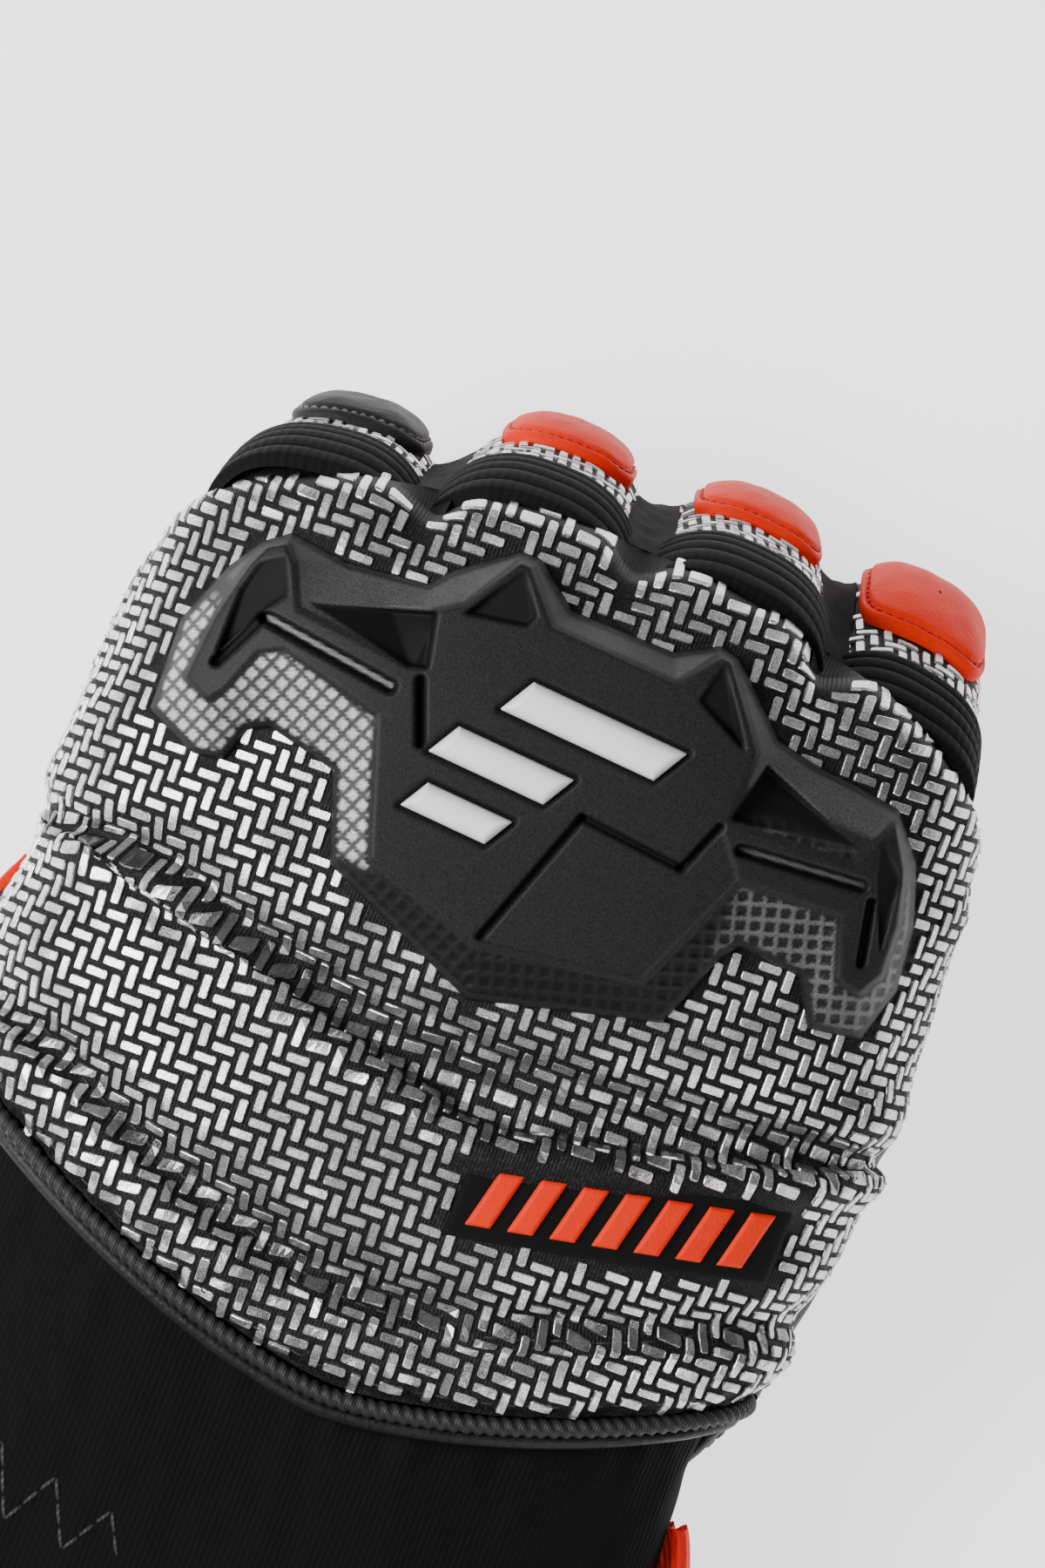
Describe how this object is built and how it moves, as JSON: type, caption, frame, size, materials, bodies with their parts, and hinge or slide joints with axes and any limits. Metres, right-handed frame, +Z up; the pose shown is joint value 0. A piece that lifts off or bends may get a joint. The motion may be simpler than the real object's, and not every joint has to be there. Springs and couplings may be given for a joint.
{
  "type": "ski racing glove",
  "caption": "Right-hand ski racing glove, curled, with a moulded knuckle guard, padded finger pads, block-print back and a stretch cuff.",
  "frame": {"origin": "centre of the footprint of the glove's bounding box, on the surface it rests on", "axes": "+X towards the little finger, +Y from the wrist to the fingers, +Z up out of the back of the hand"},
  "size_m": [0.1204, 0.1862, 0.0871],
  "materials": {
    "back_cloth": "black cloth with raised silver blocks in a herringbone",
    "leather": "black goat leather, fine grain",
    "stretch": "black stretch knit",
    "dark_pad": "dark grey padded leather",
    "orange_pad": "fluorescent red-orange, stitched edge",
    "guard": "matt black moulded plastic with a fine grain",
    "white": "white moulded inlay",
    "orange_print": "raised orange transfer"
  },
  "bodies": {
    "root": {"hand_back": "back_cloth", "palm": "leather", "finger_index_back": "back_cloth", "finger_index_front": "leather", "finger_middle_back": "back_cloth", "finger_middle_front": "leather", "finger_ring_back": "back_cloth", "finger_ring_front": "leather", "finger_little_back": "back_cloth", "finger_little_front": "leather", "band_index": "stretch", "pad_index": "dark_pad", "band_middle": "stretch", "pad_middle": "orange_pad", "band_ring": "stretch", "pad_ring": "orange_pad", "band_little": "stretch", "pad_little": "orange_pad", "thumb": "leather", "thumb_trim": "orange_pad", "cuff": "stretch", "piping": "stretch", "pull_tab": "orange_pad", "knuckle_guard": "guard", "guard_stripe_1": "white", "guard_stripe_2": "white", "guard_stripe_3": "white", "badge_base": "stretch", "badge_bar_1": "orange_print", "badge_bar_2": "orange_print", "badge_bar_3": "orange_print", "badge_bar_4": "orange_print", "badge_bar_5": "orange_print", "badge_bar_6": "orange_print", "badge_bar_7": "orange_print"}
  },
  "joints": []
}
